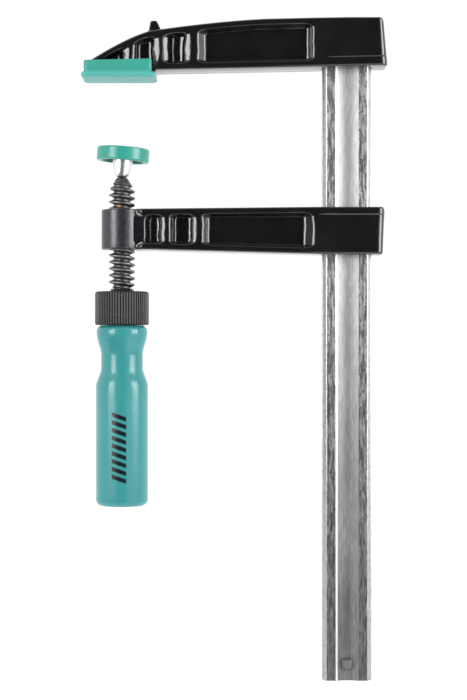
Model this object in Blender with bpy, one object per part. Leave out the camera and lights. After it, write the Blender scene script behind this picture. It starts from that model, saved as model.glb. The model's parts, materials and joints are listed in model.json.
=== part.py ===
"""F clamp: a cast fixed jaw on a grooved steel rail, and a cast sliding arm with a left-hand screw.

The origin is the middle of the fixed jaw's contact face, on the screw's axis. +X runs from the screw
to the rail, +Y across the clamp, and +Z along the rail towards the fixed jaw.
"""

import math

import bmesh
import bpy
from mathutils import Matrix

MM = 0.001

# Overall sizes
THROAT = 120.0 * MM  # screw axis to the rail's inner edge
RAIL_LENGTH = 395.0 * MM
CLAMP_GAP = 41.0 * MM  # between the two soft faces, as the clamp stands
FACE_ABOVE_BOSS = 37.0 * MM  # the pad's face above the sliding arm's boss
SCREW_LENGTH = 63.0 * MM  # of thread

# Fits
GAP = 0.3 * MM  # between pieces that are fixed together
SLIDE_GAP = 0.5 * MM  # between the sliding arm and the rail
THREAD_GAP = 0.3 * MM  # between the screw and the arm's thread
BALL_GAP = 0.3 * MM  # between the ball and its socket

# Rail
RAIL_WIDTH = 29.4 * MM
RAIL_THICKNESS = 10.0 * MM
RAIL_EDGE_WIDTH = 2.5 * MM
RAIL_EDGE_FALL = 2.4 * MM
GROOVE_WIDTH = 13.8 * MM
GROOVE_DEPTH = 1.8 * MM
GROOVE_FLANK = 1.5 * MM
STOP_HEIGHT_ABOVE_END = 10.0 * MM
STOP_SIZE = 7.0 * MM
STOP_PROUD = 1.2 * MM  # above the rail's lands

# Castings
CAST_DEPTH = 22.0 * MM
JAW_WALL = 9.4 * MM  # of the fixed jaw's block, beyond the rail's outer edge
ARM_WALL = 7.6 * MM  # of the sliding arm's block, beyond the rail's outer edge
CAST_ROUND = 1.4 * MM
POCKET_DEPTH = 6.5 * MM
RIM_OUTER = 3.0 * MM  # flat part of a pocket's rim
RIM_SLOPE = 2.2 * MM  # sloping part of a pocket's rim
JAW_RISE = 0.02  # how far the fixed jaw's underside rises for each unit towards the rail
JAW_BLOCK_HEIGHT = 28.8 * MM
JAW_ABOVE_TOE = 4.75 * MM  # the jaw's underside at its far end, above the toe's
JAW_ABOVE_RAIL = 0.8 * MM  # the jaw's top above the rail's end
JAW_CORNER = 3.0 * MM  # round corner at the block's top
BLOCK_DRAFT = 2.2 * MM  # the block's end leans in by this much towards its top
TOE_LENGTH = 39.5 * MM
TOE_BEHIND_AXIS = 19.9 * MM
TOE_THICKNESS = 6.7 * MM
TOE_STEP = 2.0 * MM  # along X, from the flat toe to the arm's underside
LUG_X = 19.8 * MM
LUG_HEIGHT = 6.8 * MM
LUG_ROOT = 3.0 * MM  # how deep the lug stands in the jaw's back
LUG_FOOT_LEFT = 4.1 * MM
LUG_FOOT_RIGHT = 4.6 * MM
LUG_TIP_LEFT = 2.5 * MM
LUG_TIP_RIGHT = 1.1 * MM
LUG_FOOT_HALF_DEPTH = 5.0 * MM
LUG_TIP_HALF_DEPTH = 3.6 * MM
LUG_FALL = 7.9 * MM  # the jaw's back at the lug, below its top
SHOULDER_X = 92.0 * MM
SHOULDER_FALL = 1.0 * MM
JAW_PIN_DIAMETER = 6.0 * MM
PIN_BLIND_WALL = 3.0 * MM
PIN_SUNK = 0.4 * MM
BOSS_DIAMETER = 24.4 * MM
BOSS_HEIGHT = 23.8 * MM
BOSS_EDGE = 0.5 * MM
ARM_LEFT = 5.0 * MM  # where the arm's plain section starts, inside the boss
ARM_BLOCK_HEIGHT = 28.2 * MM
ARM_END_LEAN = 1.0 * MM  # the block's end leans in by this much towards its underside
ARM_RISE = 1.2 * MM  # of the arm's back, from the boss to the rail

# Soft shoe on the fixed jaw
SHOE_SOLE = 2.3 * MM
SHOE_WALL = 1.9 * MM
SHOE_LIP_TOE = 1.6 * MM  # the sole, past the wall at the toe
SHOE_SHORT = 1.2 * MM  # the walls' end, short of the toe's
SHOE_LIP_RAIL = 2.3 * MM  # the sole, past the walls towards the rail
SHOE_LIP_SIDE = 1.8 * MM
SHOE_HEIGHT = 11.0 * MM
SHOE_CORNER = 2.0 * MM
SHOE_EDGE = 0.8 * MM  # chamfer round the sole
SHOE_STEP = 0.4 * MM  # slope from the sole to the walls

# Screw
PITCH = 4.0 * MM
THREAD_DIAMETER = 15.6 * MM
THREAD_ROOT_DIAMETER = 10.0 * MM
CREST_SHARE = 0.16  # of the pitch, along the crest
ROOT_SHARE = 0.24  # of the pitch, along the root
TIP_DIAMETER = 7.0 * MM
TIP_LENGTH = 2.8 * MM
TANG_SIDE = 8.0 * MM
TANG_LENGTH = 84.0 * MM
THREAD_SEGMENTS = 24
SHANK_STEP = 0.1 * MM  # the shank under the thread's root

# Ball joint and pressure pad
BALL_DIAMETER = 8.8 * MM
NECK_DIAMETER = 4.8 * MM
NECK_LENGTH = 0.612 * MM  # below the ball's surface
SOCKET_WALL = 1.4 * MM
SOCKET_BELOW_BALL = 3.4 * MM
PLATE_ABOVE_BALL = 7.8 * MM
PLATE_DIAMETER = 26.6 * MM
PLATE_THICKNESS = 2.5 * MM
PAD_WALL = 2.05 * MM
CRIMP = 2.0 * MM  # the turned-in mouth of the socket
PAD_THICKNESS = 8.0 * MM
PAD_SOLE = 3.0 * MM
PAD_EDGE = 1.0 * MM
PAD_HOOK = 0.7 * MM  # the pad's lip under the plate's rim
PAD_REST_TILT = math.radians(3.9)

# Collar and handle
COLLAR_DIAMETER = 32.2 * MM
COLLAR_HEIGHT = 20.0 * MM
COLLAR_HUB_DIAMETER = 13.0 * MM
COLLAR_HUB_HEIGHT = 1.7 * MM
COLLAR_RIBS = 60
COLLAR_RIB_DEPTH = 0.5 * MM
COLLAR_FOOT_EDGE = 1.2 * MM
COLLAR_TOP_EDGE = 1.6 * MM
HANDLE_LENGTH = 108.0 * MM
HANDLE_DIAMETER = 31.1 * MM
HANDLE_TOP_DIAMETER = 27.3 * MM
HANDLE_BEAD_DIAMETER = 30.3 * MM
HANDLE_WAIST_DIAMETER = 24.9 * MM
HANDLE_END_ROUND = 3.6 * MM
BEAD_BELOW_TOP = 4.5 * MM
WAIST_START = 18.0 * MM  # below the handle's top
WAIST_END = 25.0 * MM
GRIP_START = 37.0 * MM

# Places that follow from the sizes above
RAIL_X = THROAT + RAIL_WIDTH / 2
JAW_RIGHT = THROAT + RAIL_WIDTH + JAW_WALL
ARM_RIGHT = THROAT + RAIL_WIDTH + ARM_WALL
TOE_UNDER = SHOE_SOLE + GAP
TOE_TOP = TOE_UNDER + TOE_THICKNESS
TOE_RIGHT = TOE_LENGTH - TOE_BEHIND_AXIS
JAW_UNDER_RIGHT = TOE_UNDER + JAW_ABOVE_TOE
JAW_TOP = JAW_UNDER_RIGHT + JAW_BLOCK_HEIGHT
RAIL_TOP = JAW_TOP - JAW_ABOVE_RAIL
NECK_BELOW_BALL = math.sqrt(BALL_DIAMETER**2 - NECK_DIAMETER**2) / 2 + NECK_LENGTH
SOCKET_DIAMETER = BALL_DIAMETER + 2 * (BALL_GAP + SOCKET_WALL)
PAD_DIAMETER = PLATE_DIAMETER + 2 * (GAP + PAD_WALL)
PAD_FACE_ABOVE_BALL = PLATE_ABOVE_BALL + PLATE_THICKNESS + GAP + PAD_SOLE
BALL_Z = -CLAMP_GAP - PAD_FACE_ABOVE_BALL
SPINDLE_TOP = -NECK_BELOW_BALL - GAP  # seen from the ball's centre
THREAD_TOP = SPINDLE_TOP - TIP_LENGTH
THREAD_BOTTOM = THREAD_TOP - SCREW_LENGTH
COLLAR_TOP = THREAD_BOTTOM - GAP - COLLAR_HUB_HEIGHT
HANDLE_TOP = COLLAR_TOP - COLLAR_HEIGHT - GAP
BOSS_TOP = -CLAMP_GAP - FACE_ABOVE_BOSS

# Pockets between the castings' ribs: floor left and right, mouth left and right along X
JAW_POCKETS = (
    (-9 * MM, -1.8 * MM, -12 * MM, 4.6 * MM),
    (11.4 * MM, 17 * MM, 6.6 * MM, 22.5 * MM),
    (31 * MM, 35.4 * MM, 25 * MM, 41.5 * MM),
    (50 * MM, THROAT - 9.6 * MM, 45.6 * MM, THROAT - 5.2 * MM),
)
ARM_POCKETS = (
    (17.5 * MM, 21.6 * MM, 14.2 * MM, 26 * MM),
    (32.4 * MM, 40.8 * MM, 29.4 * MM, 45 * MM),
    (52 * MM, THROAT - 11.5 * MM, 48.6 * MM, THROAT - 5 * MM),
)


def material(name, colour, roughness, metallic):
    """A plain material for one piece."""
    made = bpy.data.materials.new(name)
    made.use_nodes = True
    shader = made.node_tree.nodes["Principled BSDF"]
    shader.inputs["Base Color"].default_value = (*colour, 1.0)
    shader.inputs["Roughness"].default_value = roughness
    shader.inputs["Metallic"].default_value = metallic
    return made


def frame(name, location, parent=None, tilt=0.0):
    """An empty on a joint's axis, which the pieces that move with it are parented to."""
    empty = bpy.data.objects.new(name, None)
    empty.empty_display_size = 10 * MM
    empty.location = location
    empty.rotation_euler.y = tilt
    empty.parent = parent
    bpy.context.collection.objects.link(empty)
    return empty


def as_object(name, mesh, parent, finish=None):
    """Links a mesh as an object at its parent's origin, facing out and shaded smooth."""
    work = bmesh.new()
    work.from_mesh(mesh)
    bmesh.ops.recalc_face_normals(work, faces=work.faces)
    work.to_mesh(mesh)
    work.free()
    made = bpy.data.objects.new(name, mesh)
    made.parent = parent
    bpy.context.collection.objects.link(made)
    if finish:
        mesh.materials.append(finish)
        mesh.shade_smooth()
        mesh.set_sharp_from_angle(angle=math.radians(35))
    return made


def combine(piece, other_mesh, operation="DIFFERENCE"):
    """Cuts away, joins or keeps the part shared with another mesh in the same place."""
    name = f"{piece.name}_{operation.lower()}_{len(piece.modifiers)}"
    other = as_object(name, other_mesh, piece.parent)
    other.hide_render = True
    other.display_type = "WIRE"
    step = piece.modifiers.new(name, "BOOLEAN")
    step.operation = operation
    step.solver = "EXACT"
    step.object = other


def round_edges(piece, width, segments=2, angle=50):
    """Rounds every edge sharper than the angle."""
    step = piece.modifiers.new("rounded edges", "BEVEL")
    step.width = width
    step.segments = segments
    step.limit_method = "ANGLE"
    step.angle_limit = math.radians(angle)
    step.use_clamp_overlap = True


def loft(name, rings):
    """A solid through rings of points, with flat ends."""
    count = len(rings[0])
    points = [point for ring in rings for point in ring]
    faces = [tuple(range(count)), tuple(range(len(points) - count, len(points)))]
    for row in range(len(rings) - 1):
        here = row * count
        there = here + count
        for i in range(count):
            j = (i + 1) % count
            faces.append((here + i, here + j, there + j, there + i))
    mesh = bpy.data.meshes.new(name)
    mesh.from_pydata(points, [], faces)
    return mesh


def plate(name, outline, y_from, y_to):
    """A flat piece: an outline of (x, z) points with a thickness along Y."""
    return loft(name, [[(x, y, z) for x, z in outline] for y in (y_from, y_to)])


def bar(name, section, z_from, z_to):
    """A straight bar along Z with a section of (x, y) points."""
    return loft(name, [[(x, y, z) for x, y in section] for z in (z_from, z_to)])


def box(name, low, high):
    """A box between two corners."""
    section = [(low[0], low[1]), (high[0], low[1]), (high[0], high[1]), (low[0], high[1])]
    return bar(name, section, low[2], high[2])


def turned(name, profile, segments=40):
    """A turned solid: (radius, z) points from one end of the axis round to the other."""
    rings = []
    for radius, z in profile:
        ring = []
        for i in range(segments):
            turn = math.tau * i / segments
            ring.append((radius * math.cos(turn), radius * math.sin(turn), z))
        rings.append(ring)
    return loft(name, rings)


def arc(centre, radius, first, last, steps):
    """Points along an arc of a circle, with both of its ends, for angles in degrees."""
    points = []
    for i in range(steps + 1):
        turn = math.radians(first + (last - first) * i / steps)
        points.append((centre[0] + radius * math.cos(turn), centre[1] + radius * math.sin(turn)))
    return points


def thread(name, spare, z_low, z_high, datum=0.0):
    """The screw's left-hand thread, past both ends of a stretch and fatter by the spare width.

    Its turns are counted from the datum's height, so that the screw and its hole keep in step.
    """
    flank = (1 - CREST_SHARE - ROOT_SHARE) / 2
    shift = spare / PITCH
    crest = THREAD_DIAMETER / 2 + spare
    root = THREAD_ROOT_DIAMETER / 2 + spare
    profile = [
        (root, shift),
        (root, ROOT_SHARE - shift),
        (crest, ROOT_SHARE + flank - shift),
        (crest, ROOT_SHARE + flank + CREST_SHARE + shift),
    ]
    turns = math.ceil((z_high - z_low) / PITCH) + 3
    last = turns * THREAD_SEGMENTS
    start = datum + PITCH * (math.floor((z_low - datum) / PITCH) - 2)
    points = []
    for i in range(last + THREAD_SEGMENTS + 1):
        turn = -math.tau * i / THREAD_SEGMENTS
        climb = i / THREAD_SEGMENTS
        for radius, share in profile:
            z = start + PITCH * (climb + share)
            points.append((radius * math.cos(turn), radius * math.sin(turn), z))
    rows = len(profile)

    def corner(column, row):
        """The point at a column and row, where the row past the last is the next turn's first."""
        if row == rows:
            return (column + THREAD_SEGMENTS) * rows
        return column * rows + row

    faces = []
    for i in range(last):
        for j in range(rows):
            faces.append((corner(i, j), corner(i + 1, j), corner(i + 1, j + 1), corner(i, j + 1)))
    low_loop = [corner(i, 0) for i in range(THREAD_SEGMENTS + 1)]
    low_loop += [corner(0, j) for j in range(rows - 1, 0, -1)]
    high_loop = [corner(last, j) for j in range(rows + 1)]
    high_loop += [corner(last + i, 0) for i in range(THREAD_SEGMENTS - 1, 0, -1)]
    for loop, z in ((low_loop, start - PITCH), (high_loop, points[corner(last, rows)][2] + PITCH)):
        points.append((0, 0, z))
        for i, here in enumerate(loop):
            faces.append((here, loop[(i + 1) % len(loop)], len(points) - 1))
    mesh = bpy.data.meshes.new(name)
    mesh.from_pydata(points, [], faces)
    work = bmesh.new()
    work.from_mesh(mesh)
    loose = [point for point in work.verts if not point.link_faces]
    bmesh.ops.delete(work, geom=loose, context="VERTS")
    work.to_mesh(mesh)
    work.free()
    return mesh


def rail_section(grow=0.0, grooves=True):
    """The rail's section, round its middle, made larger by a clearance for a slot."""
    half = RAIL_WIDTH / 2 + grow
    face = RAIL_THICKNESS / 2 + grow
    land_end = half - RAIL_EDGE_WIDTH
    quarter = [(half, 0), (half, face - RAIL_EDGE_FALL), (land_end, face)]
    if grooves:
        quarter.append((GROOVE_WIDTH / 2, face))
        quarter.append((GROOVE_WIDTH / 2 - GROOVE_FLANK, face - GROOVE_DEPTH))
    upper = quarter + [(-x, y) for x, y in reversed(quarter)]
    lower = [(-x, -y) for x, y in upper[1:-1]]
    return [(RAIL_X + x, y) for x, y in upper + lower]


def pocket(name, floor, mouth, top, under, side, stations=6):
    """A cutter for one pocket in a casting's side, narrower at its floor than at its mouth.

    The floor and the mouth are (left, right) along X, and top and under give the casting's
    height at an x.
    """
    face = CAST_DEPTH / 2
    levels = (
        (floor, face - POCKET_DEPTH, RIM_OUTER + RIM_SLOPE),
        (mouth, face, RIM_OUTER),
        (mouth, face + 2 * CAST_ROUND, RIM_OUTER),
    )
    rings = []
    for (left, right), depth, rim in levels:
        across = [left + (right - left) * i / stations for i in range(stations + 1)]
        ring = [(x, side * depth, under(x) + rim) for x in across]
        ring += [(x, side * depth, top(x) - rim) for x in reversed(across)]
        rings.append(ring)
    return loft(name, rings)


def cut_pockets(piece, spans, top, under):
    """Cuts the pockets in both sides. A span is (floor left, floor right, mouth left, mouth right)."""
    for side in (-1, 1):
        for floor_left, floor_right, mouth_left, mouth_right in spans:
            floor = (floor_left, floor_right)
            mouth = (mouth_left, mouth_right)
            combine(piece, pocket("pocket", floor, mouth, top, under, side))


def make_rail(parent, finish):
    """The grooved steel bar, with a punched stop near its free end."""
    low = RAIL_TOP - RAIL_LENGTH
    rail = as_object("rail", bar("rail", rail_section(), low, RAIL_TOP), parent, finish)
    middle = low + STOP_HEIGHT_ABOVE_END
    rings = []
    for size, y in (
        (STOP_SIZE, GROOVE_DEPTH + 1 * MM - RAIL_THICKNESS / 2),
        (STOP_SIZE, GROOVE_DEPTH - RAIL_THICKNESS / 2),
        (STOP_SIZE * 0.6, -STOP_PROUD - RAIL_THICKNESS / 2),
    ):
        half = size / 2
        corners = ((-half, -half), (half, -half), (half, half), (-half, half))
        rings.append([(RAIL_X + x, y, middle + z) for x, z in corners])
    combine(rail, loft("stop", rings), "UNION")
    combine(rail, jaw_pin_mesh("pin hole", GAP))


def jaw_under(x):
    """Height of the fixed jaw's underside, flat under the toe and rising from there."""
    if x < TOE_RIGHT:
        return TOE_UNDER
    return JAW_UNDER_RIGHT - JAW_RISE * (JAW_RIGHT - x)


def jaw_top(x):
    """Height of the fixed jaw's back, which falls away to the lug and faster down to the toe."""
    lug_top = JAW_TOP - LUG_FALL
    shoulder = JAW_TOP - SHOULDER_FALL
    if x < LUG_X:
        along = (x + TOE_BEHIND_AXIS) / (LUG_X + TOE_BEHIND_AXIS)
        return TOE_TOP + (lug_top - TOE_TOP) * (1 - (1 - along) ** 1.35)
    if x < SHOULDER_X:
        along = (x - LUG_X) / (SHOULDER_X - LUG_X)
        return lug_top + (shoulder - lug_top) * (1 - (1 - along) ** 1.5)
    return shoulder + (JAW_TOP - shoulder) * min(1.0, (x - SHOULDER_X) / (RAIL_X - SHOULDER_X))


def make_fixed_jaw(parent, finish):
    """The fixed jaw: an I-section casting with a block round the rail and a toe for the shoe."""
    toe_left = -TOE_BEHIND_AXIS
    outline = [
        (toe_left, TOE_UNDER + CAST_ROUND),
        (toe_left + CAST_ROUND, TOE_UNDER),
        (TOE_RIGHT, TOE_UNDER),
        (TOE_RIGHT + TOE_STEP, jaw_under(TOE_RIGHT + TOE_STEP)),
        (JAW_RIGHT, JAW_UNDER_RIGHT),
        (JAW_RIGHT - BLOCK_DRAFT, JAW_TOP - JAW_CORNER),
    ]
    corner = (JAW_RIGHT - BLOCK_DRAFT - JAW_CORNER, JAW_TOP - JAW_CORNER)
    outline += arc(corner, JAW_CORNER, 30, 90, 3)
    stations = 8
    for left, right in ((LUG_X, RAIL_X), (toe_left, LUG_X)):
        for i in range(stations):
            x = right + (left - right) * i / stations
            outline.append((x, jaw_top(x)))
    outline.append((toe_left, TOE_TOP))
    mesh = plate("fixed_jaw", outline, -CAST_DEPTH / 2, CAST_DEPTH / 2)
    jaw = as_object("fixed_jaw", mesh, parent, finish)
    round_edges(jaw, CAST_ROUND)
    cut_pockets(jaw, JAW_POCKETS, jaw_top, jaw_under)
    foot = jaw_top(LUG_X)
    rings = []
    for left, right, half, z in (
        (LUG_FOOT_LEFT, LUG_FOOT_RIGHT, LUG_FOOT_HALF_DEPTH, foot - LUG_ROOT),
        (LUG_TIP_LEFT, LUG_TIP_RIGHT, LUG_TIP_HALF_DEPTH, foot + LUG_HEIGHT),
    ):
        corners = ((-left, -half), (right, -half), (right, half), (-left, half))
        rings.append([(LUG_X + x, y, z) for x, y in corners])
    combine(jaw, loft("lug", rings), "UNION")
    slot = bar("rail slot", rail_section(GAP, grooves=False), -10 * MM, JAW_TOP + 10 * MM)
    combine(jaw, slot)
    combine(jaw, jaw_pin_mesh("pin hole", GAP))


def jaw_pin_mesh(name, grow):
    """The cross pin's shape along Y, from inside the front wall out to the back face."""
    radius = JAW_PIN_DIAMETER / 2 + grow
    front = PIN_BLIND_WALL - CAST_DEPTH / 2 - grow
    back = CAST_DEPTH / 2 - PIN_SUNK + grow
    mesh = turned(name, [(radius, -back), (radius, -front)], 24)
    mesh.transform(Matrix.Rotation(math.radians(90), 4, "X"))
    mesh.transform(Matrix.Translation((RAIL_X, 0, (JAW_UNDER_RIGHT + JAW_TOP) / 2)))
    return mesh


def make_jaw_pin(parent, finish):
    """The pin through the rail that holds the fixed jaw, driven in from the back."""
    as_object("fixed_jaw_pin", jaw_pin_mesh("fixed_jaw_pin", 0), parent, finish)


def make_shoe(parent, finish):
    """The soft shoe over the fixed jaw's toe: a sole with a wall round three sides."""
    left = -TOE_BEHIND_AXIS - GAP - SHOE_WALL
    right = TOE_RIGHT - SHOE_SHORT
    wall_y = CAST_DEPTH / 2 + GAP + SHOE_WALL
    sole_left = left - SHOE_LIP_TOE
    sole_right = right + SHOE_LIP_RAIL
    corner = SHOE_CORNER

    def ring(x_low, x_high, half_width, z):
        """A rectangle with cut corners."""
        return [
            (x_low + corner, -half_width, z),
            (x_high - corner, -half_width, z),
            (x_high, corner - half_width, z),
            (x_high, half_width - corner, z),
            (x_high - corner, half_width, z),
            (x_low + corner, half_width, z),
            (x_low, half_width - corner, z),
            (x_low, corner - half_width, z),
        ]

    half = wall_y + SHOE_LIP_SIDE
    rings = [
        ring(sole_left + SHOE_EDGE, sole_right - SHOE_EDGE, half - SHOE_EDGE, 0),
        ring(sole_left, sole_right, half, SHOE_EDGE),
        ring(sole_left, sole_right, half, SHOE_SOLE),
        ring(left, right, wall_y, SHOE_SOLE + SHOE_STEP),
        ring(left, right, wall_y, SHOE_HEIGHT),
    ]
    shoe = as_object("fixed_jaw_shoe", loft("fixed_jaw_shoe", rings), parent, finish)
    low = (-TOE_BEHIND_AXIS - GAP, -CAST_DEPTH / 2 - GAP, SHOE_SOLE)
    high = (sole_right + 5 * MM, CAST_DEPTH / 2 + GAP, SHOE_HEIGHT + 5 * MM)
    combine(shoe, box("toe space", low, high))


def arm_top(x):
    """Height of the sliding arm's back above the boss's top, rising a little to the rail."""
    return ARM_RISE * min(1.0, max(0.0, x / THROAT))


def arm_under(x):
    """Height of the sliding arm's underside, from the boss's top, falling towards the rail."""
    along = min(1.0, max(0.0, x / THROAT))
    return -BOSS_HEIGHT - (ARM_BLOCK_HEIGHT - BOSS_HEIGHT - arm_top(THROAT)) * along


def make_sliding_arm(parent, finish):
    """The sliding arm, seen from its boss's top: a threaded boss, an I-section and a rail slot."""
    stations = 6
    shares = [i / stations for i in range(stations + 1)]
    lower = [ARM_LEFT + (ARM_RIGHT - ARM_END_LEAN - ARM_LEFT) * share for share in shares]
    upper = [ARM_LEFT + (ARM_RIGHT - ARM_LEFT) * share for share in reversed(shares)]
    outline = [(x, arm_under(x)) for x in lower] + [(x, arm_top(x)) for x in upper]
    mesh = plate("sliding_arm", outline, -CAST_DEPTH / 2, CAST_DEPTH / 2)
    arm = as_object("sliding_arm", mesh, parent, finish)
    round_edges(arm, CAST_ROUND)
    radius = BOSS_DIAMETER / 2
    profile = [
        (radius - BOSS_EDGE, -BOSS_HEIGHT),
        (radius, BOSS_EDGE - BOSS_HEIGHT),
        (radius, -BOSS_EDGE),
        (radius - BOSS_EDGE, 0),
    ]
    combine(arm, turned("boss", profile), "UNION")
    cut_pockets(arm, ARM_POCKETS, arm_top, arm_under)
    low = -ARM_BLOCK_HEIGHT - 10 * MM
    slot = bar("rail slot", rail_section(SLIDE_GAP, grooves=False), low, 10 * MM)
    combine(arm, slot)
    hole = thread("threaded hole", THREAD_GAP, -BOSS_HEIGHT, 0, BALL_Z - BOSS_TOP)
    combine(arm, hole)


def make_spindle(parent, finish):
    """The screw, seen from the ball's centre: a tip, the thread, a shank and a square tang."""
    screw = thread("spindle", 0, THREAD_BOTTOM, THREAD_TOP)
    spindle = as_object("spindle", screw, parent, finish)
    root = THREAD_ROOT_DIAMETER / 2
    crest = THREAD_DIAMETER / 2 + MM
    profile = [
        (root - SHANK_STEP, THREAD_BOTTOM),
        (crest, THREAD_BOTTOM + crest - root),
        (crest, THREAD_TOP - 1.4 * (crest - root)),
        (TIP_DIAMETER / 2 + 1.6 * MM, THREAD_TOP),
        (TIP_DIAMETER / 2, SPINDLE_TOP),
    ]
    combine(spindle, turned("envelope", profile), "INTERSECT")
    shank = root - 2 * SHANK_STEP
    profile = [(shank, HANDLE_TOP - 2 * MM), (shank, THREAD_BOTTOM + PITCH)]
    combine(spindle, turned("shank", profile), "UNION")
    half = TANG_SIDE / 2
    section = [(-half, -half), (half, -half), (half, half), (-half, half)]
    tang = bar("tang", section, HANDLE_TOP - TANG_LENGTH, HANDLE_TOP - 1 * MM)
    combine(spindle, tang, "UNION")


def make_ball(parent, finish):
    """The screw's ball end, seen from its centre, with its neck down to the screw's tip."""
    radius = BALL_DIAMETER / 2
    neck = NECK_DIAMETER / 2
    neck_angle = -math.degrees(math.acos(neck / radius))
    profile = [(neck, -NECK_BELOW_BALL)]
    profile += arc((0, 0), radius, neck_angle, 80, 12)
    return as_object("spindle_ball", turned("spindle_ball", profile, 24), parent, finish)


def make_pressure_plate(parent, finish):
    """The plated disc with the socket that is crimped round the ball."""
    top = PLATE_ABOVE_BALL + PLATE_THICKNESS
    disc = PLATE_DIAMETER / 2
    neck = SOCKET_DIAMETER / 2
    edge = 0.3 * MM
    low = -SOCKET_BELOW_BALL
    profile = [(neck - CRIMP, low), (neck - 0.4 * CRIMP, low + 0.5 * CRIMP), (neck, low + CRIMP)]
    profile += [(neck, PLATE_ABOVE_BALL), (disc - edge, PLATE_ABOVE_BALL)]
    profile += [(disc, PLATE_ABOVE_BALL + edge), (disc, top - edge), (disc - edge, top)]
    plate_piece = as_object("pressure_plate", turned("pressure_plate", profile), parent, finish)
    hollow = BALL_DIAMETER / 2 + BALL_GAP
    mouth = -math.degrees(math.asin(SOCKET_BELOW_BALL / hollow))
    opening = hollow * math.cos(math.radians(mouth))
    profile = [(opening + 0.3 * MM, low - MM), (opening, low)]
    profile += arc((0, 0), hollow, mouth, 80, 12)
    combine(plate_piece, turned("ball space", profile, 24))


def make_pad(parent, finish):
    """The soft pad that snaps over the pressure plate's disc."""
    top = PAD_FACE_ABOVE_BALL
    foot = top - PAD_THICKNESS
    radius = PAD_DIAMETER / 2
    inside = PLATE_DIAMETER / 2 + GAP
    disc_low = PLATE_ABOVE_BALL - GAP
    profile = [
        (inside - PAD_HOOK, foot),
        (radius - PAD_EDGE, foot),
        (radius, foot + PAD_EDGE),
        (radius, top - PAD_EDGE),
        (radius - 0.3 * PAD_EDGE, top - 0.3 * PAD_EDGE),
        (radius - PAD_EDGE, top),
    ]
    pad = as_object("pressure_pad", turned("pressure_pad", profile, 48), parent, finish)
    profile = [
        (inside - PAD_HOOK + MM, foot - MM),
        (inside - PAD_HOOK, foot + 0.5 * MM),
        (inside - PAD_HOOK, disc_low - PAD_HOOK),
        (inside, disc_low),
        (inside, top - PAD_SOLE),
    ]
    combine(pad, turned("plate space", profile, 48))


def make_collar(parent, finish):
    """The ribbed collar under the screw's thread, with a square hole for the tang's shank."""
    radius = COLLAR_DIAMETER / 2
    foot = COLLAR_TOP - COLLAR_HEIGHT
    rings = []
    for inset, z in (
        (COLLAR_FOOT_EDGE, foot),
        (0, foot + COLLAR_FOOT_EDGE),
        (0, COLLAR_TOP - COLLAR_TOP_EDGE),
        (0.4 * COLLAR_TOP_EDGE, COLLAR_TOP - 0.4 * COLLAR_TOP_EDGE),
        (COLLAR_TOP_EDGE, COLLAR_TOP),
    ):
        ring = []
        for i in range(2 * COLLAR_RIBS):
            turn = math.tau * i / (2 * COLLAR_RIBS)
            reach = radius - inset - COLLAR_RIB_DEPTH * (i % 2)
            ring.append((reach * math.cos(turn), reach * math.sin(turn), z))
        rings.append(ring)
    collar = as_object("knurled_collar", loft("knurled_collar", rings), parent, finish)
    hub = COLLAR_HUB_DIAMETER / 2
    hub_top = COLLAR_TOP + COLLAR_HUB_HEIGHT
    profile = [(hub + MM, COLLAR_TOP - MM), (hub + MM, COLLAR_TOP), (hub - 0.6 * MM, hub_top)]
    combine(collar, turned("hub", profile), "UNION")
    bore = THREAD_ROOT_DIAMETER / 2 + GAP
    profile = [(bore, foot - MM), (bore, hub_top + MM)]
    combine(collar, turned("bore", profile))


def make_handle(parent, finish):
    """The round handle: a bead, a waist, a straight grip and a blind square hole for the tang."""
    low = HANDLE_TOP - HANDLE_LENGTH
    grip = HANDLE_DIAMETER / 2
    waist = HANDLE_WAIST_DIAMETER / 2
    bead = HANDLE_BEAD_DIAMETER / 2
    bead_z = HANDLE_TOP - BEAD_BELOW_TOP
    waist_high = HANDLE_TOP - WAIST_START
    waist_low = HANDLE_TOP - WAIST_END
    grip_z = HANDLE_TOP - GRIP_START
    profile = arc((grip - HANDLE_END_ROUND, low + HANDLE_END_ROUND), HANDLE_END_ROUND, -90, 0, 4)
    for low_size, high_size, low_z, high_z in (
        (grip, waist, grip_z, waist_low),
        (waist, bead, waist_high, bead_z),
    ):
        for i in range(7):
            blend = (1 - math.cos(math.pi * i / 6)) / 2
            size = low_size + (high_size - low_size) * blend
            profile.append((size, low_z + (high_z - low_z) * i / 6))
    top = HANDLE_TOP_DIAMETER / 2
    profile += [(bead - 0.4 * MM, HANDLE_TOP - 1.6 * MM), (top, HANDLE_TOP)]
    handle = as_object("handle", turned("handle", profile, 32), parent, finish)
    half = TANG_SIDE / 2 + GAP
    section = [(-half, -half), (half, -half), (half, half), (-half, half)]
    hole_low = HANDLE_TOP - TANG_LENGTH - GAP
    combine(handle, bar("tang hole", section, hole_low, HANDLE_TOP + MM))
    mouth = THREAD_ROOT_DIAMETER / 2 + GAP
    profile = [(mouth, HANDLE_TOP - 3 * MM), (mouth, HANDLE_TOP + MM)]
    combine(handle, turned("hole mouth", profile, 32))


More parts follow.
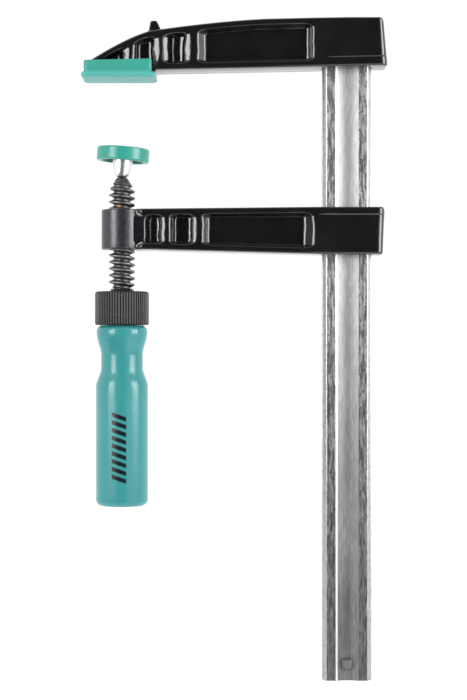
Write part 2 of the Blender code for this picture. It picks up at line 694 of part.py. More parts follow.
def build():
    """Makes every piece in its place."""
    for item in list(bpy.data.objects):
        bpy.data.objects.remove(item, do_unlink=True)
    cast_paint = material("black_paint", (0.01, 0.01, 0.012), 0.2, 0.0)
    zinc = material("zinc_plated_steel", (0.6, 0.6, 0.6), 0.3, 1.0)
    dark_steel = material("dark_steel", (0.12, 0.12, 0.13), 0.4, 1.0)
    dark_plastic = material("dark_plastic", (0.07, 0.07, 0.08), 0.5, 0.0)
    teal = material("teal_plastic", (0.05, 0.4, 0.33), 0.35, 0.0)
    body = frame("clamp", (0, 0, 0))
    make_rail(body, zinc)
    make_fixed_jaw(body, cast_paint)
    make_jaw_pin(body, dark_steel)
    make_shoe(body, teal)
    arm = frame("arm_slide", (0, 0, BOSS_TOP), body)
    make_sliding_arm(arm, cast_paint)
    screw = frame("screw_axis", (0, 0, BALL_Z - BOSS_TOP), arm)
    make_ball(screw, dark_steel)
    make_spindle(screw, dark_steel)
    make_collar(screw, dark_plastic)
    make_handle(screw, teal)
    plate_frame = frame("ball_joint", (0, 0, 0), screw, PAD_REST_TILT)
    make_pressure_plate(plate_frame, zinc)
    make_pad(plate_frame, teal)


build()
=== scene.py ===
"""The F clamp's looks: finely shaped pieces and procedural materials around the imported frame.

Lengths are in metres, in the frame's own place: the origin is the middle of the fixed jaw's contact
face, on the screw's axis. +X runs from the screw to the rail, +Y across the clamp, +Z up the rail.
"""

import json
import math

import bmesh
import bpy
from mathutils import Matrix, Vector, noise


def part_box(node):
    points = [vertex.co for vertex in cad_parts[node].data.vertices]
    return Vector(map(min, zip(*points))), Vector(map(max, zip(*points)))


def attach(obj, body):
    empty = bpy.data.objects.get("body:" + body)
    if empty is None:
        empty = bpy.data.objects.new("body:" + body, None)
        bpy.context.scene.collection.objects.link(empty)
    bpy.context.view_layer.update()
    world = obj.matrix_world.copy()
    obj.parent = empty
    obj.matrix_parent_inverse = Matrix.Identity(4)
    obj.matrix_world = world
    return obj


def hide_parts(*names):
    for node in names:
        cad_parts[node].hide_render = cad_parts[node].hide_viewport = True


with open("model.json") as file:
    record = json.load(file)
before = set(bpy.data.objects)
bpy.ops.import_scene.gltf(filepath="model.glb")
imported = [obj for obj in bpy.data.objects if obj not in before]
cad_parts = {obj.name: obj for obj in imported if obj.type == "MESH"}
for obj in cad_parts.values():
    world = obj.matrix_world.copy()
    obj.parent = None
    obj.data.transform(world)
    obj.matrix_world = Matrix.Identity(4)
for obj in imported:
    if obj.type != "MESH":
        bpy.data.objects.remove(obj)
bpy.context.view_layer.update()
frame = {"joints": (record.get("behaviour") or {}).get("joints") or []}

MM = 0.001

# Places and sizes that the frame gives
RAIL_LOW, RAIL_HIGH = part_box("rail")
JAW_LOW, JAW_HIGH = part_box("fixed_jaw")
ARM_LOW, ARM_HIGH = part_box("sliding_arm")
SHOE_LOW, SHOE_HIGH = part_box("fixed_jaw_shoe")
COLLAR_LOW, COLLAR_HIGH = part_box("knurled_collar")
HANDLE_LOW, HANDLE_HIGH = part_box("handle")
SPINDLE_LOW, SPINDLE_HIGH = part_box("spindle")
PIN_LOW, PIN_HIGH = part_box("fixed_jaw_pin")
BALL_Z = next(joint["pos_m"][2] for joint in frame["joints"] if joint["name"] == "pad_tilt")
RAIL_X = (RAIL_LOW.x + RAIL_HIGH.x) / 2
RAIL_HALF_WIDTH = RAIL_HIGH.x - RAIL_X
RAIL_FACE = RAIL_HIGH.y
CAST_HALF_DEPTH = JAW_HIGH.y
THROAT = RAIL_LOW.x

# Rail
RAIL_EDGE_WIDTH = 2.5 * MM
RAIL_EDGE_FALL = 2.4 * MM
GROOVE_HALF_WIDTH = 6.9 * MM
GROOVE_DEPTH = 1.8 * MM
STOP_HEIGHT_ABOVE_END = 10.0 * MM
STOP_SIZE = 7.0 * MM
SLOT_GAP = 0.4 * MM

# Castings
CAST_ROUND = 1.4 * MM
POCKET_DEPTH = 6.5 * MM
RIM_OUTER = 3.0 * MM
RIM_SLOPE = 2.6 * MM
SIDE_ROUND = 4.0 * MM
TOE_RIGHT = 19.6 * MM
TOE_TOP = 9.3 * MM
UNDER_RIGHT = 7.35 * MM
JAW_RISE = 0.02
LUG_X = 19.8 * MM
LUG_FOOT = JAW_HIGH.z - 7.9 * MM
LUG_TOP = LUG_FOOT + 6.8 * MM
SHOULDER_X = 92.0 * MM
SHOULDER_FALL = 1.0 * MM
BLOCK_DRAFT = 2.2 * MM
BLOCK_SET_IN = 0.7 * MM
BOSS_RADIUS = -ARM_LOW.x
BOSS_TOP = ARM_HIGH.z - 1.2 * MM
BOSS_BOTTOM = BOSS_TOP - 23.8 * MM

# A pocket's two sides. Each is four places along X, in millimetres, from its mouth to its floor:
# the rounded mouth lies between the first two, the rounded foot between the last two.
JAW_POCKETS = (
    ((-12.0, -11.0, -9.5, -8.5), (4.6, 1.0, -0.5, -1.6)),
    ((6.9, 8.2, 9.9, 11.1), (22.5, 19.6, 18.2, 17.0)),
    ((24.8, 28.0, 30.0, 31.0), (41.3, 38.1, 37.1, 35.2)),
    ((45.6, 46.9, 49.2, 50.2), (115.3, 114.0, 112.0, 110.8)),
)
ARM_POCKETS = (
    ((13.6, 14.6, 16.4, 17.4), (26.0, 23.8, 22.4, 21.5)),
    ((28.6, 29.6, 31.6, 32.5), (44.9, 42.6, 41.6, 40.3)),
    ((48.2, 49.4, 51.4, 52.4), (115.4, 113.8, 110.4, 108.9)),
)
CROWN = 1.2  # millimetres from a pocket's edge to where its rounded mouth begins
TOE = 1.1  # millimetres from where its rounded foot ends to its flat floor

# Screw
PITCH = 4.0 * MM
CREST_RADIUS = 7.8 * MM
ROOT_RADIUS = 5.0 * MM
THREAD_GAP = 0.3 * MM
THREAD_TOP = SPINDLE_HIGH.z - 2.8 * MM
THREAD_BOTTOM = COLLAR_HIGH.z + 0.3 * MM
CREST_PHASE = 0.87  # of a turn, where the crest stands seen from the ball's height
TANG_HALF = 4.0 * MM

# Ball joint and pad, seen from the ball's centre
BALL_RADIUS = 4.4 * MM
BALL_SPACE = BALL_RADIUS + 0.3 * MM
PLATE_LOW = 7.8 * MM
PLATE_TOP = PLATE_LOW + 2.5 * MM
PLATE_RADIUS = 13.3 * MM
PAD_TOP = 13.6 * MM
PAD_THICKNESS = 8.0 * MM
PAD_RADIUS = 15.65 * MM
PAD_TILT = math.radians(3.9)

# Studio
CAMERA_PLACE = (66.9 * MM, -1100 * MM, -162 * MM)
FLOOR_BELOW_RAIL = 165 * MM
CARD_ALBEDO = 0.015
CARD_HALF_WIDTH = 0.62
CARD_HALF_HEIGHT = 0.75
CARD_BEHIND_CAMERA = 0.3
SOFTBOX_DISTANCE = 1.0
SOFTBOX_MIDDLE = 0.10
SOFTBOX_HEIGHT = 0.64
SOFTBOX_RADIANCE = 7.5


# ---- shapes ----

def loft(name, rings, wrap=False):
    """A closed surface through rings of points, with flat ends or the last ring joined to the first."""
    count = len(rings[0])
    points = [point for ring in rings for point in ring]
    faces = []
    if not wrap:
        faces = [tuple(range(count)), tuple(range(len(points) - count, len(points)))]
    for row in range(len(rings) if wrap else len(rings) - 1):
        here = row * count
        there = (row + 1) % len(rings) * count
        for i in range(count):
            j = (i + 1) % count
            faces.append((here + i, here + j, there + j, there + i))
    mesh = bpy.data.meshes.new(name)
    mesh.from_pydata(points, [], faces)
    return facing_out(mesh)


def facing_out(mesh):
    """Turns a closed mesh's faces outwards."""
    work = bmesh.new()
    work.from_mesh(mesh)
    bmesh.ops.recalc_face_normals(work, faces=work.faces)
    work.to_mesh(mesh)
    work.free()
    return mesh


def turned(name, profile, segments=96, wrap=False, reach=None):
    """A turned solid from (radius, z) points. reach(turn, radius, z) may change the radius."""
    rings = []
    for radius, z in profile:
        ring = []
        for i in range(segments):
            turn = math.tau * i / segments
            here = reach(turn, radius, z) if reach else radius
            ring.append((here * math.cos(turn), here * math.sin(turn), z))
        rings.append(ring)
    return loft(name, rings, wrap)


def arc(centre, radius, first, last, steps):
    """Points along an arc of a circle, with both ends, for angles in degrees."""
    points = []
    for i in range(steps + 1):
        turn = math.radians(first + (last - first) * i / steps)
        points.append((centre[0] + radius * math.cos(turn), centre[1] + radius * math.sin(turn)))
    return points


def smooth(share):
    """A smooth step from 0 to 1."""
    share = min(1.0, max(0.0, share))
    return share * share * (3 - 2 * share)


def combined(mesh, *others, operation="DIFFERENCE"):
    """A mesh with others cut from it or joined to it."""
    base = bpy.data.objects.new("base", mesh)
    bpy.context.collection.objects.link(base)
    extra = []
    for i, other in enumerate(others):
        tool = bpy.data.objects.new(f"tool {i}", other)
        bpy.context.collection.objects.link(tool)
        step = base.modifiers.new(f"step {i}", "BOOLEAN")
        step.operation = operation
        step.solver = "EXACT"
        step.object = tool
        extra.append(tool)
    made = settled(base)
    for item in (base, *extra):
        bpy.data.objects.remove(item)
    return made


def settled(item):
    """The mesh that an object's modifiers give."""
    graph = bpy.context.evaluated_depsgraph_get()
    return bpy.data.meshes.new_from_object(item.evaluated_get(graph))


def add_piece(name, mesh, finish, body, node, sharp=38):
    """Adds a piece that rides on a body and stands for a CAD node."""
    mesh.materials.clear()
    mesh.materials.append(finish)
    mesh.shade_smooth()
    mesh.set_sharp_from_angle(angle=math.radians(sharp))
    made = bpy.data.objects.new(name, mesh)
    bpy.context.collection.objects.link(made)
    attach(made, body)
    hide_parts(node)
    return made


# ---- materials ----

class Finish:
    """A Principled material in the making, with short ways to add the nodes that vary it."""

    def __init__(self, name, colour, roughness, metallic=0.0):
        self.material = bpy.data.materials.new(name)
        self.material.use_nodes = True
        self.tree = self.material.node_tree
        self.shader = self.tree.nodes["Principled BSDF"]
        self.shader.inputs["Base Color"].default_value = (*colour, 1.0)
        self.shader.inputs["Roughness"].default_value = roughness
        self.shader.inputs["Metallic"].default_value = metallic
        self.place = self.tree.nodes.new("ShaderNodeTexCoord").outputs["Object"]

    def noise(self, scale, detail=3.0, stretch=(1, 1, 1)):
        """Noise over the piece, its features about 1 / scale metres, stretched along the axes."""
        mapping = self.tree.nodes.new("ShaderNodeMapping")
        mapping.inputs["Scale"].default_value = stretch
        texture = self.tree.nodes.new("ShaderNodeTexNoise")
        texture.inputs["Scale"].default_value = scale
        texture.inputs["Detail"].default_value = detail
        self.tree.links.new(self.place, mapping.inputs["Vector"])
        self.tree.links.new(mapping.outputs["Vector"], texture.inputs["Vector"])
        return texture.outputs["Fac"]

    def math(self, operation, first, second=0.0):
        """One arithmetic step on values or sockets."""
        step = self.tree.nodes.new("ShaderNodeMath")
        step.operation = operation
        for i, value in enumerate((first, second)):
            if isinstance(value, (int, float)):
                step.inputs[i].default_value = value
            else:
                self.tree.links.new(value, step.inputs[i])
        return step.outputs[0]

    def ramp(self, value, start, end, low=0.0, high=1.0):
        """Takes a value from start..end to low..high, and no further."""
        step = self.tree.nodes.new("ShaderNodeMapRange")
        step.inputs["From Min"].default_value = start
        step.inputs["From Max"].default_value = end
        step.inputs["To Min"].default_value = low
        step.inputs["To Max"].default_value = high
        self.tree.links.new(value, step.inputs["Value"])
        return step.outputs["Result"]

    def axes(self):
        """The X, Y and Z of the place on the piece."""
        split = self.tree.nodes.new("ShaderNodeSeparateXYZ")
        self.tree.links.new(self.place, split.inputs[0])
        return split.outputs[0], split.outputs[1], split.outputs[2]

    def from_axis(self):
        """How far the place on the piece is from the screw's axis."""
        x, y, _ = self.axes()
        squares = self.math("ADD", self.math("MULTIPLY", x, x), self.math("MULTIPLY", y, y))
        return self.math("SQRT", squares)

    def mix(self, factor, first, second):
        """A colour between two, each a colour or a socket."""
        step = self.tree.nodes.new("ShaderNodeMix")
        step.data_type = "RGBA"
        self.tree.links.new(factor, step.inputs["Factor"])
        for socket, colour in ((step.inputs[6], first), (step.inputs[7], second)):
            if isinstance(colour, tuple):
                socket.default_value = (*colour, 1.0)
            else:
                self.tree.links.new(colour, socket)
        return step.outputs[2]

    def blend(self, factor, first, second):
        """A number between two, each a number or a socket."""
        step = self.tree.nodes.new("ShaderNodeMix")
        self.tree.links.new(factor, step.inputs["Factor"])
        for socket, value in ((step.inputs[2], first), (step.inputs[3], second)):
            if isinstance(value, (int, float)):
                socket.default_value = value
            else:
                self.tree.links.new(value, socket)
        return step.outputs[0]

    def set(self, name, socket):
        """Feeds one of the shader's inputs."""
        self.tree.links.new(socket, self.shader.inputs[name])

    def bump(self, *layers):
        """Raises the surface by layers of (height socket, depth in metres)."""
        normal = None
        for height, depth in layers:
            step = self.tree.nodes.new("ShaderNodeBump")
            step.inputs["Distance"].default_value = depth
            self.tree.links.new(height, step.inputs["Height"])
            if normal:
                self.tree.links.new(normal, step.inputs["Normal"])
            normal = step.outputs["Normal"]
        self.set("Normal", normal)


def black_paint(name, boss=False):
    """Gloss black paint over a rough casting. The machined boss is satin and blue-grey."""
    finish = Finish(name, (0.009, 0.009, 0.011), 0.2)
    coat = 0.3
    broad = finish.noise(70, 3)
    fine = finish.noise(420, 4)
    colour = finish.mix(broad, (0.0035, 0.0035, 0.0045), (0.008, 0.008, 0.0095))
    rough = finish.ramp(broad, 0.3, 0.7, 0.07, 0.19)
    if boss:
        from_axis = finish.from_axis()
        boss_edge = (BOSS_RADIUS + 0.1 * MM, BOSS_RADIUS + 0.6 * MM)
        on_boss = finish.ramp(from_axis, *boss_edge, 1.0, 0.0)
        grain = finish.noise(420, 4, (1, 1, 0.6))
        satin = finish.mix(grain, (0.007, 0.008, 0.011), (0.026, 0.028, 0.038))
        colour = finish.mix(on_boss, colour, satin)
        rough = finish.blend(on_boss, rough, finish.ramp(grain, 0.3, 0.7, 0.24, 0.36))
        finish.set("Coat Weight", finish.ramp(from_axis, *boss_edge, 0.0, coat))
    finish.set("Base Color", colour)
    finish.set("Roughness", rough)
    finish.shader.inputs["IOR"].default_value = 1.6
    finish.shader.inputs["Coat Weight"].default_value = coat
    finish.shader.inputs["Coat Roughness"].default_value = 0.1
    finish.bump((broad, 0.16 * MM), (fine, 0.06 * MM))
    return finish.material


def rail_steel():
    """Drawn and zinc-plated steel: striated lands and a smoother groove, with painted shade darkening
    both towards the lower end, a painted highlight down the groove's left edge, painted shade down its
    middle and painted light on its lower right part.
    """
    finish = Finish("rail_steel", (0.6, 0.6, 0.6), 0.35, 1.0)
    x, _, z = finish.axes()
    off_centre = finish.math("ABSOLUTE", finish.math("SUBTRACT", x, RAIL_X))
    on_land = finish.ramp(off_centre, GROOVE_HALF_WIDTH - 0.4 * MM, GROOVE_HALF_WIDTH + 0.2 * MM)
    streaks = finish.noise(1300, 4, (1, 1, 0.12))
    pits = finish.noise(900, 3, (1, 1, 0.5))
    clouds = finish.noise(60, 4, (1, 1, 0.4))
    land = finish.mix(finish.ramp(streaks, 0.4, 0.6), (0.52, 0.52, 0.525), (0.92, 0.92, 0.92))
    land = finish.mix(finish.ramp(pits, 0.52, 0.66), land, (0.36, 0.36, 0.365))
    on_streak = finish.ramp(streaks, 0.35, 0.65)
    # Painted shade: the lands grow darker towards the rail's lower end.
    shaded_land = finish.mix(on_streak, (0.10, 0.10, 0.105), (0.22, 0.22, 0.226))
    land = finish.mix(finish.ramp(z, -0.34, -0.10, 1.0, 0.0), land, shaded_land)
    groove = finish.mix(finish.ramp(clouds, 0.3, 0.7), (0.50, 0.50, 0.50), (0.58, 0.58, 0.57))
    groove = finish.mix(finish.ramp(streaks, 0.40, 0.62, 0.0, 0.6), groove, (0.36, 0.36, 0.36))
    # Painted shade: a streaky darker band down the middle of the groove's curve.
    from_band = finish.math("ABSOLUTE", finish.math("SUBTRACT", x, RAIL_X + 1.6 * MM))
    near_band = finish.ramp(from_band, 2.0 * MM, 4.0 * MM, 0.55, 0.0)
    crest_wear_and_painted_groove_shade = finish.math("MULTIPLY", near_band, finish.ramp(streaks, 0.35, 0.6))
    groove = finish.mix(crest_wear_and_painted_groove_shade, groove, (0.40, 0.40, 0.39))
    # Painted shade: the groove's darker colour for the rail's lower end, with streaks.
    shaded_groove = finish.mix(finish.ramp(clouds, 0.35, 0.65), (0.11, 0.11, 0.113), (0.22, 0.22, 0.223))
    # Painted light: the right part of the groove is lighter within its painted shade.
    right_part = finish.ramp(x, RAIL_X + 1.5 * MM, RAIL_X + 3 * MM, 0.0, 0.7)
    shaded_groove = finish.mix(right_part, shaded_groove, (0.25, 0.25, 0.253))
    shaded_groove = finish.mix(finish.ramp(streaks, 0.40, 0.62, 0.0, 0.4), shaded_groove, (0.08, 0.08, 0.08))
    # Painted shade: the groove grows darker towards the rail's lower end.
    groove = finish.mix(finish.ramp(z, -0.33, -0.10, 1.0, 0.0), groove, shaded_groove)
    # Painted highlight: a bright line along the groove's left wall.
    groove_highlight_x = RAIL_X - GROOVE_HALF_WIDTH + 0.7 * MM
    from_groove_highlight = finish.math("ABSOLUTE", finish.math("SUBTRACT", x, groove_highlight_x))
    on_groove_highlight = finish.ramp(from_groove_highlight, 0.3 * MM, 0.9 * MM, 0.8, 0.0)
    groove = finish.mix(on_groove_highlight, groove, (0.85, 0.85, 0.85))
    colour = finish.mix(on_land, groove, land)
    bevel = finish.mix(finish.ramp(pits, 0.4, 0.7), (0.43, 0.43, 0.425), (0.31, 0.31, 0.31))
    bevel_start = RAIL_HALF_WIDTH - RAIL_EDGE_WIDTH
    on_bevel = finish.ramp(off_centre, bevel_start - 0.2 * MM, bevel_start + 0.1 * MM)
    colour = finish.mix(on_bevel, colour, bevel)
    finish.set("Base Color", colour)
    land_rough = finish.ramp(streaks, 0.3, 0.7, 0.30, 0.48)
    groove_rough = finish.ramp(clouds, 0.3, 0.7, 0.54, 0.66)
    finish.set("Roughness", finish.blend(on_land, groove_rough, land_rough))
    finish.bump((clouds, 0.05 * MM), (streaks, 0.012 * MM), (pits, 0.01 * MM))
    return finish.material


def soft_teal(name, smoothest, roughest, sole_top=None):
    """Satin teal plastic with a fine moulded grain, and a paler, bluer painted reflection on the sole if
    it has one.
    """
    finish = Finish(name, (0.04, 0.29, 0.22), 0.4)
    tone = finish.noise(45, 3)
    grain = finish.noise(2600, 2)
    colour = finish.mix(tone, (0.022, 0.235, 0.182), (0.032, 0.284, 0.228))
    if sole_top is not None:
        _, _, z = finish.axes()
        # Painted reflection: the sole is paler and bluer, a sheen of reflected light.
        sole = finish.mix(tone, (0.050, 0.315, 0.275), (0.066, 0.355, 0.320))
        on_sole_sheen = finish.ramp(z, sole_top - 0.3 * MM, sole_top + 0.3 * MM, 1.0, 0.0)
        colour = finish.mix(on_sole_sheen, colour, sole)
    finish.set("Base Color", colour)
    finish.set("Roughness", finish.ramp(grain, 0.3, 0.7, smoothest, roughest))
    finish.bump((tone, 0.06 * MM), (grain, 0.01 * MM))
    finish.shader.inputs["Subsurface Weight"].default_value = 0.12
    finish.shader.inputs["Subsurface Radius"].default_value = (0.2, 1.0, 0.8)
    finish.shader.inputs["Subsurface Scale"].default_value = 1.5 * MM
    return finish.material


def handle_teal():
    """Glossy, slightly translucent teal plastic with a row of plain slanted printed bars."""
    finish = Finish("handle_teal_plastic", (0.06, 0.31, 0.31), 0.12)
    tone = finish.noise(30, 2, (1, 1, 0.5))
    flow = finish.noise(260, 3, (1, 1, 0.3))
    teal = finish.mix(tone, (0.026, 0.205, 0.208), (0.044, 0.262, 0.265))
    x, y, z = finish.axes()
    bar_pitch = 4.6 * MM
    bar_slant = 0.35
    half_row = 4.5 * bar_pitch
    row_middle = -220.5 * MM
    from_middle = finish.math("ABSOLUTE", finish.math("ADD", x, 0.9 * MM))
    across = finish.ramp(from_middle, 4.3 * MM, 4.4 * MM, 1.0, 0.0)
    slanted = finish.math("ADD", z, finish.math("MULTIPLY", x, bar_slant))
    count = finish.math("DIVIDE", finish.math("ADD", slanted, 1.0), bar_pitch)
    within = finish.math("FRACT", count)
    to_bar = finish.math("ABSOLUTE", finish.math("SUBTRACT", within, 0.5))
    bar = finish.ramp(to_bar, 0.27, 0.30, 1.0, 0.0)
    height = finish.math("ABSOLUTE", finish.math("ADD", slanted, -row_middle))
    row = finish.ramp(height, half_row - 0.05 * MM, half_row, 1.0, 0.0)
    on_front = finish.math("MULTIPLY", row, finish.math("LESS_THAN", y, 0.0))
    printed = finish.math("MULTIPLY", finish.math("MULTIPLY", across, bar), on_front)
    finish.set("Base Color", finish.mix(printed, teal, (0.008, 0.010, 0.018)))
    finish.set("Roughness", finish.ramp(flow, 0.3, 0.7, 0.15, 0.24))
    finish.bump((tone, 0.25 * MM), (flow, 0.012 * MM))
    finish.shader.inputs["Subsurface Weight"].default_value = 0.2
    finish.shader.inputs["Subsurface Radius"].default_value = (0.3, 1.0, 1.0)
    finish.shader.inputs["Subsurface Scale"].default_value = 3 * MM
    return finish.material


def dark_steel(name, grease=False):
    """Dark phosphated steel, brighter where wear has polished the crests, with a smear of grease."""
    finish = Finish(name, (0.12, 0.12, 0.12), 0.4, 0.9)
    cloud = finish.noise(380, 4)
    speck = finish.noise(2200, 2)
    colour = finish.mix(finish.ramp(cloud, 0.35, 0.65), (0.075, 0.075, 0.078), (0.17, 0.17, 0.172))
    if grease:
        on_crest = finish.ramp(finish.from_axis(), CREST_RADIUS - 0.9 * MM, CREST_RADIUS)
        crest_wear_and_painted_groove_shade = finish.math("MULTIPLY", on_crest, finish.ramp(cloud, 0.4, 0.6, 0.3, 1.0))
        colour = finish.mix(crest_wear_and_painted_groove_shade, colour, (0.26, 0.255, 0.25))
        spot = finish.tree.nodes.new("ShaderNodeVectorMath")
        spot.operation = "DISTANCE"
        spot.inputs[1].default_value = (-1.2 * MM, -6.0 * MM, BOSS_TOP + 2.2 * MM)
        finish.tree.links.new(finish.place, spot.inputs[0])
        near_spot = finish.ramp(spot.outputs["Value"], 1.2 * MM, 2.8 * MM, 0.7, 0.0)
        smear = finish.math("MULTIPLY", near_spot, finish.ramp(cloud, 0.3, 0.6, 0.5, 1.0))
        colour = finish.mix(smear, colour, (0.40, 0.24, 0.13))
    finish.set("Base Color", colour)
    finish.set("Roughness", finish.ramp(cloud, 0.3, 0.7, 0.38, 0.56))
    finish.bump((cloud, 0.05 * MM), (speck, 0.01 * MM))
    return finish.material


def dark_plastic():
    """Satin dark grey moulded plastic, with a painted highlight on the collar's outermost rib crests."""
    finish = Finish("dark_plastic", (0.05, 0.05, 0.055), 0.45)
    tone = finish.noise(300, 3)
    grain = finish.noise(2400, 2)
    # Painted highlight: the outermost rib crests are lighter than the grooves between them.
    crest_highlight = finish.ramp(finish.from_axis(), COLLAR_HIGH.x - 0.5 * MM, COLLAR_HIGH.x - 0.1 * MM)
    plain = finish.mix(tone, (0.004, 0.004, 0.005), (0.009, 0.009, 0.010))
    finish.set("Base Color", finish.mix(crest_highlight, plain, (0.038, 0.038, 0.041)))
    finish.set("Roughness", finish.ramp(grain, 0.3, 0.7, 0.32, 0.44))
    finish.bump((tone, 0.04 * MM), (grain, 0.012 * MM))
    return finish.material


def bright_zinc(name, low, high):
    """Bright zinc plate or ground steel, faintly clouded."""
    finish = Finish(name, (0.8, 0.8, 0.8), 0.2, 1.0)
    cloud = finish.noise(300, 4)
    scratch = finish.noise(1800, 3, (1, 1, 0.2))
    finish.set("Base Color", finish.mix(cloud, (low, low, low * 1.01), (high, high, high * 1.01)))
    finish.set("Roughness", finish.ramp(scratch, 0.3, 0.7, 0.26, 0.40))
    finish.bump((cloud, 0.06 * MM), (scratch, 0.006 * MM))
    return finish.material


# ---- castings ----

def jaw_under(x):
    """Height of the fixed jaw's underside: flat under the toe, then rising to the rail."""
    arm = UNDER_RIGHT - JAW_RISE * (JAW_HIGH.x - x)
    return JAW_LOW.z + (arm - JAW_LOW.z) * smooth((x - TOE_RIGHT) / (2 * MM))


def jaw_top(x):
    """Height of the fixed jaw's back, which falls away to the lug and faster down to the toe."""
    shoulder = JAW_HIGH.z - SHOULDER_FALL
    if x < LUG_X:
        along = (x - JAW_LOW.x) / (LUG_X - JAW_LOW.x)
        return TOE_TOP + (LUG_FOOT - TOE_TOP) * (1 - max(0.0, 1 - along) ** 1.35)
    if x < SHOULDER_X:
        along = (x - LUG_X) / (SHOULDER_X - LUG_X)
        return LUG_FOOT + (shoulder - LUG_FOOT) * (1 - (1 - along) ** 1.5)
    return shoulder + SHOULDER_FALL * min(1.0, (x - SHOULDER_X) / (RAIL_X - SHOULDER_X))


def on_block(x):
    """How far a place along a casting is into its block, from 0 to 1."""
    return smooth((x - THROAT + 8 * MM) / (20 * MM))


def jaw_half_depth(x, above_under, below_top):
    """Half of the fixed jaw's depth: its block is set in a little above the lower flange."""
    above_flange = smooth((above_under - 5.2 * MM) / (0.8 * MM))
    return CAST_HALF_DEPTH - BLOCK_SET_IN * on_block(x) * above_flange


def arm_top(x):
    """Height of the sliding arm's back, which rises a little from the boss to the rail."""
    return BOSS_TOP + (ARM_HIGH.z - BOSS_TOP) * min(1.0, max(0.0, x / THROAT))


def arm_under(x):
    """Height of the sliding arm's underside, which falls towards the rail."""
    return BOSS_BOTTOM + (ARM_LOW.z - BOSS_BOTTOM) * min(1.0, max(0.0, x / THROAT))


def arm_half_depth(x, above_under, below_top):
    """Half of the sliding arm's depth: narrow at the boss, and set in below the block's top band."""
    from_flange = smooth((min(above_under, below_top) - 2 * MM) / (4 * MM))
    width = (2.3 - 1.4 * from_flange) * MM
    flare = width * (1 - smooth((x - 8.6 * MM) / ((4 + 8 * from_flange) * MM)))
    below_band = smooth((below_top - 4.0 * MM) / (0.8 * MM))
    return CAST_HALF_DEPTH - flare - BLOCK_SET_IN * on_block(x) * below_band


def fallen(place, start, end, first, last):
    """How far a surface falls from start to a place, its slope turning from first to last degrees."""
    reached = min(max(place, start), end)
    if reached <= start:
        return 0.0
    turn = (math.radians(last) - math.radians(first)) / (end - start)
    here = math.radians(first) + turn * (reached - start)
    return math.log(math.cos(math.radians(first)) / math.cos(here)) / turn


def side_fall(share, side):
    """How deep a pocket is at a share of the way from its edge to its floor."""
    mouth, mouth_end, foot, foot_end = (abs(place - side[0]) for place in side)
    low, high = (21, 44) if side[3] > side[0] else (16, 32)
    bends = (
        (-CROWN, mouth, 0, low),
        (mouth, mouth_end, low, high),
        (foot, foot_end, high, low),
        (foot_end, foot_end + TOE, low, 0),
    )
    rounded = sum(fallen(end, start, end, first, last) for start, end, first, last in bends)
    wall = POCKET_DEPTH / MM - rounded
    place = share * (foot_end + TOE + CROWN) - CROWN
    depth = sum(fallen(place, start, end, first, last) for start, end, first, last in bends)
    depth += wall * min(1.0, max(0.0, (place - mouth_end) / (foot - mouth_end)))
    return depth * MM


def recess(x, above_under, below_top, pockets):
    """How deep a pocket has sunk a casting's side at a place."""
    low = (above_under - RIM_OUTER) / RIM_SLOPE
    high = (below_top - RIM_OUTER) / RIM_SLOPE
    up = min(low, high, 1.0)
    level = (above_under - below_top) / (above_under + below_top)
    deepest = 0.0
    for left_side, right_side in pockets:
        left_edge = left_side[0] - CROWN
        right_edge = right_side[0] + CROWN - 1.5 * level * level
        left = (x / MM - left_edge) / (left_side[3] + TOE - left_edge)
        right = (right_edge - x / MM) / (right_edge - right_side[3] + TOE)
        along = min(left, right, 1.0)
        share = 1 - math.hypot(1 - along, 1 - up)
        if share > 0:
            deepest = max(deepest, side_fall(share, left_side if left < right else right_side))
    return deepest


def set_in(distance, radius):
    """How far a rounded end stands in from the full section, a distance from the end."""
    if distance >= radius:
        return 0.0
    return radius - math.sqrt(radius * radius - (radius - distance) ** 2)


def along_x(low, high, busy, fine=0.4 * MM, coarse=2.2 * MM):
    """Places from low to high, close together in the busy spans."""
    places = [low]
    while places[-1] < high - fine / 2:
        here = places[-1]
        near = any(left - coarse <= here <= right + fine for left, right in busy)
        places.append(min(high, here + (fine if near else coarse)))
    return places


